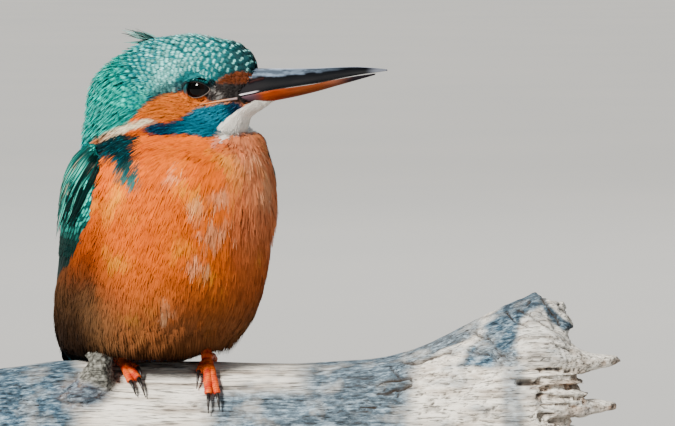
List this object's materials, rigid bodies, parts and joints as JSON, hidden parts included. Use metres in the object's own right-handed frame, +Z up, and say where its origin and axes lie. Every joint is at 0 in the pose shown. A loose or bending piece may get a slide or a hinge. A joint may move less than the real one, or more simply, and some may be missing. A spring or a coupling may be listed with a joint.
{
  "type": "common kingfisher, life-size still model on a perch with a display stand",
  "caption": "Adult female kingfisher sitting upright on a cut length of bleached, broken branch, head turned to show the long dagger bill, held over a flat base by short rods.",
  "frame": {"origin": "the middle of the underside of the stand's base", "axes": "+Z up, +X along the branch to its broken end, -Y the side towards which the bird's breast faces, turned a third of a right angle towards +X"},
  "size_m": [0.1678, 0.084, 0.1549],
  "materials": {
    "plumage_teal": "blue-green feathers with pale spots",
    "plumage_orange": "soft rufous feathers",
    "bill_horn": "dark polished horn, worn pale along the ridge",
    "bill_red": "red-orange horn with a dark tip",
    "eye_dark": "wet, almost black",
    "foot_red": "scaly coral-red skin",
    "claw_dark": "dark horn",
    "weathered_wood": "bleached, cracked bare wood",
    "stand_wood": "dark satin",
    "stand_metal": "satin"
  },
  "bodies": {
    "root": {"bill_lower": "bill_red", "bill_upper": "bill_horn", "claw_left_hind": "claw_dark", "claw_left_inner": "claw_dark", "claw_left_middle": "claw_dark", "claw_left_outer": "claw_dark", "claw_right_hind": "claw_dark", "claw_right_inner": "claw_dark", "claw_right_middle": "claw_dark", "claw_right_outer": "claw_dark", "eye_left": "eye_dark", "eye_right": "eye_dark", "foot_left": "foot_red", "foot_right": "foot_red", "head": "plumage_teal", "leg_left": "foot_red", "leg_right": "foot_red", "neck": "plumage_teal", "perch_branch": "weathered_wood", "stand_base": "stand_wood", "stand_rod_left": "stand_metal", "stand_rod_right": "stand_metal", "tail": "plumage_teal", "trunk": "plumage_orange", "wing_left": "plumage_teal", "wing_right": "plumage_teal"}
  },
  "joints": []
}
